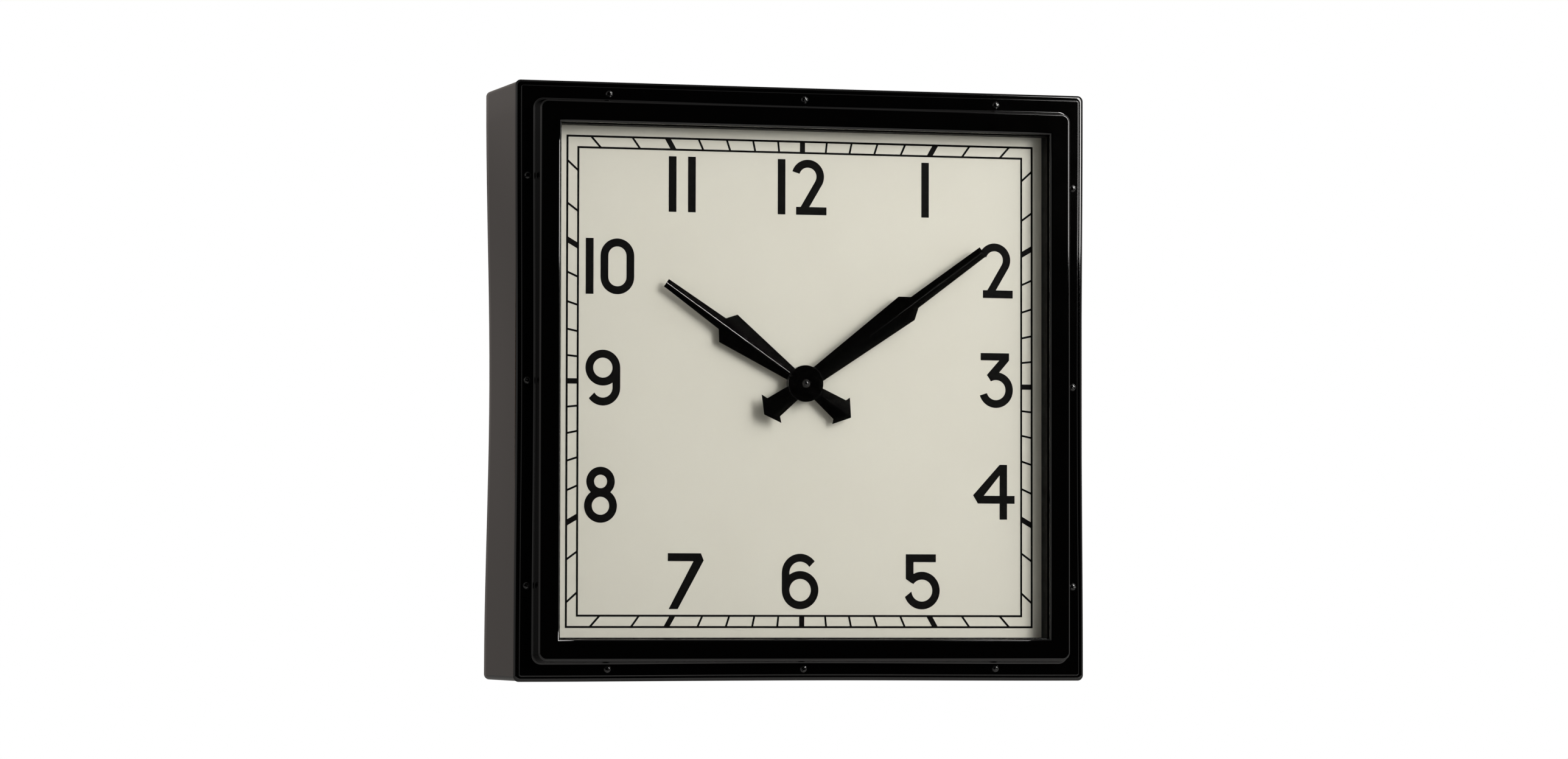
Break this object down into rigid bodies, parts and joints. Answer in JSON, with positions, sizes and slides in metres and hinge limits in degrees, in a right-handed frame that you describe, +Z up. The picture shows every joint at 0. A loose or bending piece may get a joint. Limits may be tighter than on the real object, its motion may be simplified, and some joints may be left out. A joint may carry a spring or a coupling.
{
  "type": "square schoolhouse wall clock",
  "caption": "Square wall clock in a deep black steel case: screwed bezel, glass, cream dial with large numerals, two hands and a battery quartz movement behind an access panel.",
  "frame": {"origin": "where the axis of the hands meets the wall plane, in the middle of the case's rear rim", "axes": "+X right as seen from the front, +Z up, -Y out of the dial towards the viewer, +Y into the wall"},
  "size_m": [0.42, 0.1035, 0.42],
  "materials": {
    "case_enamel": "gloss black stove enamel on sheet steel",
    "panel_enamel": "satin black paint on sheet steel",
    "bezel_enamel": "gloss black stove enamel on pressed sheet steel",
    "screw_black": "black finished steel screws",
    "zinc_steel": "zinc plated steel",
    "spring_steel": "bright spring steel",
    "nickel_strip": "nickel plated strip",
    "soft_iron": "annealed soft iron",
    "can_silver": "drawn metal can",
    "ferrite": "sintered magnet",
    "cork_gasket": "brown cork and rubber sheet",
    "seal_rubber": "black rubber strip",
    "clear_glass": "clear flat glass",
    "spacer_dark": "dark brown-black painted strip",
    "dial_paint": "satin cream enamel on sheet steel",
    "dial_ink": "black printed ink",
    "hardboard": "brown hardboard",
    "hand_enamel": "gloss black enamel on pressed sheet",
    "cap_black": "gloss black domed nut",
    "brass": "turned or pressed brass",
    "gear_nylon": "moulded white nylon",
    "copper_wire": "enamelled copper wire",
    "board_green": "green circuit board",
    "chip_epoxy": "black epoxy drop",
    "housing_plastic": "black moulded plastic",
    "knob_white": "white moulded plastic",
    "cell_wrap": "plain printed sleeve of a dry cell"
  },
  "bodies": {
    "case": {"case_shell": "case_enamel", "back_panel": "panel_enamel", "back_panel_screws": "zinc_steel", "hanger_plate": "zinc_steel", "hanger_rivets": "zinc_steel", "bezel": "bezel_enamel", "bezel_gasket": "cork_gasket", "bezel_screws": "screw_black", "bezel_seal": "seal_rubber", "glass": "clear_glass", "spacer_frame": "spacer_dark", "dial": "dial_paint", "dial_numerals": "dial_ink", "minute_track": "dial_ink", "dial_board": "hardboard", "dial_brackets": "zinc_steel", "dial_bracket_screws": "zinc_steel", "movement_gasket": "seal_rubber", "movement_bush": "brass", "movement_washer": "brass", "movement_nut": "brass", "movement_housing": "housing_plastic", "movement_cover": "housing_plastic", "cover_screws": "zinc_steel", "gear_bridge": "brass", "bridge_screws": "zinc_steel", "stator": "soft_iron", "coil_core": "soft_iron", "coil_bobbin": "gear_nylon", "coil_winding": "copper_wire", "core_screws": "zinc_steel", "circuit_board": "board_green", "quartz_crystal": "can_silver", "clock_chip": "chip_epoxy", "positive_contact": "nickel_strip", "negative_contact": "nickel_strip"},
    "minute": {"minute_hand": "hand_enamel", "minute_collet": "brass", "hand_cap_nut": "cap_black", "cannon_pinion": "brass", "centre_wheel": "gear_nylon", "friction_spring": "spring_steel"},
    "hour": {"hour_hand": "hand_enamel", "hour_collet": "brass", "hour_wheel": "brass"},
    "motion": {"motion_wheel": "gear_nylon"},
    "knob": {"setting_knob": "knob_white"},
    "third": {"third_wheel": "gear_nylon"},
    "second": {"second_wheel": "gear_nylon"},
    "intermediate": {"intermediate_wheel": "gear_nylon"},
    "rotor": {"rotor_pinion": "gear_nylon", "rotor_magnet": "ferrite"},
    "battery": {"battery": "cell_wrap"}
  },
  "joints": [
    {"name": "minute_turn", "type": "hinge", "parent": "case", "child": "minute", "pos_m": [0, -0.09, 0], "axis": [0, 1, 0], "continuous": true},
    {"name": "hour_turn", "type": "hinge", "parent": "case", "child": "hour", "pos_m": [0, -0.09, 0], "axis": [0, 1, 0], "continuous": true},
    {"name": "motion_turn", "type": "hinge", "parent": "case", "child": "motion", "pos_m": [-0.00624, -0.078, -0.0036], "axis": [0, 1, 0], "continuous": true},
    {"name": "knob_turn", "type": "hinge", "parent": "case", "child": "knob", "pos_m": [-0.01344, -0.07, -0.0036], "axis": [0, 1, 0], "continuous": true},
    {"name": "third_turn", "type": "hinge", "parent": "case", "child": "third", "pos_m": [0.00779, -0.075, 0.0045], "axis": [0, 1, 0], "continuous": true},
    {"name": "second_turn", "type": "hinge", "parent": "case", "child": "second", "pos_m": [0.00632, -0.073, 0.01287], "axis": [0, 1, 0], "continuous": true},
    {"name": "intermediate_turn", "type": "hinge", "parent": "case", "child": "intermediate", "pos_m": [-0.00238, -0.0715, 0.0152], "axis": [0, 1, 0], "continuous": true},
    {"name": "rotor_turn", "type": "hinge", "parent": "case", "child": "rotor", "pos_m": [-0.01083, -0.07, 0.01294], "axis": [0, 1, 0], "continuous": true},
    {"name": "battery_pull", "type": "slide", "parent": "case", "child": "battery", "axis": [0, 1, 0], "range_m": [0, 0.035]}
  ],
  "couplings": [
    {"joint": "hour_turn", "follows": "minute_turn", "ratio": 0.083333},
    {"joint": "motion_turn", "follows": "minute_turn", "ratio": -0.33333},
    {"joint": "knob_turn", "follows": "minute_turn", "ratio": 1},
    {"joint": "third_turn", "follows": "minute_turn", "ratio": -8},
    {"joint": "second_turn", "follows": "minute_turn", "ratio": 60},
    {"joint": "intermediate_turn", "follows": "minute_turn", "ratio": -300},
    {"joint": "rotor_turn", "follows": "minute_turn", "ratio": 1800}
  ]
}
